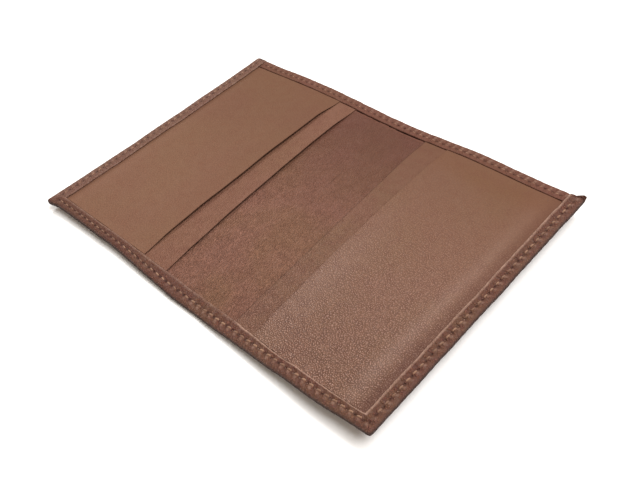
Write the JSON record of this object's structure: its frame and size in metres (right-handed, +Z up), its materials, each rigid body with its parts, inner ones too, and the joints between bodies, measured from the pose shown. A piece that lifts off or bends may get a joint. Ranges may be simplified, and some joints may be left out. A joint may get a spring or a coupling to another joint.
{
  "type": "bifold leather card holder",
  "caption": "Slim bifold card holder in stitched turned-edge leather, with stepped card pockets on each half and a full-length banknote compartment.",
  "frame": {"origin": "on the table under the middle of the fold, with both halves lying open", "axes": "+X across the open halves, towards the half whose pocket mouths are nearer the fold, +Y along the fold towards the banknote compartment's open side, +Z up out of the pockets"},
  "size_m": [0.14, 0.0986, 0.0063],
  "materials": {
    "cover_leather": "mid brown fine-grained leather, satin, darker along the fold of its edges",
    "liner_leather": "mid brown leather with a fine streaky grain, satin",
    "pocket_leather": "mid brown leather with a fine pebbled grain, satin",
    "hem_leather": "mid brown leather, a little redder and darker, pulled in along the seam",
    "lining_cloth": "dark brown plain-weave lining cloth",
    "seam_thread": "tan twisted sewing thread",
    "inner_thread": "dark brown sewing thread"
  },
  "bodies": {
    "spine": {"spine_cover": "cover_leather", "spine_lining": "lining_cloth", "spine_liner": "liner_leather", "spine_near_hem": "hem_leather", "spine_liner_far_hem": "hem_leather", "spine_cover_far_hem": "hem_leather", "spine_stitching": "seam_thread"},
    "left_half": {"left_cover": "cover_leather", "left_lining": "lining_cloth", "left_liner": "liner_leather", "left_rear_pocket": "pocket_leather", "left_rear_pocket_backing": "lining_cloth", "left_front_pocket": "pocket_leather", "left_end_hem": "hem_leather", "left_near_hem": "hem_leather", "left_liner_far_hem": "hem_leather", "left_cover_far_hem": "hem_leather", "left_end_stitching": "seam_thread", "left_near_stitching": "seam_thread", "left_liner_far_stitching": "seam_thread", "left_cover_far_stitching": "seam_thread", "left_backing_seam": "inner_thread"},
    "right_half": {"right_cover": "cover_leather", "right_lining": "lining_cloth", "right_liner": "liner_leather", "right_rear_pocket": "pocket_leather", "right_rear_pocket_backing": "lining_cloth", "right_front_pocket": "pocket_leather", "right_end_hem": "hem_leather", "right_near_hem": "hem_leather", "right_liner_far_hem": "hem_leather", "right_cover_far_hem": "hem_leather", "right_end_stitching": "seam_thread", "right_near_stitching": "seam_thread", "right_liner_far_stitching": "seam_thread", "right_cover_far_stitching": "seam_thread", "right_backing_seam": "inner_thread"}
  },
  "joints": [
    {"name": "fold_right", "type": "hinge", "parent": "spine", "child": "right_half", "pos_m": [0.004, 0, 0.0008], "axis": [0, -1, 0], "range_deg": [-3, 87]},
    {"name": "fold_left", "type": "hinge", "parent": "spine", "child": "left_half", "pos_m": [-0.004, 0, 0.0008], "axis": [0, 1, 0], "range_deg": [-3, 87]}
  ],
  "couplings": [
    {"joint": "fold_left", "follows": "fold_right", "ratio": 1}
  ]
}
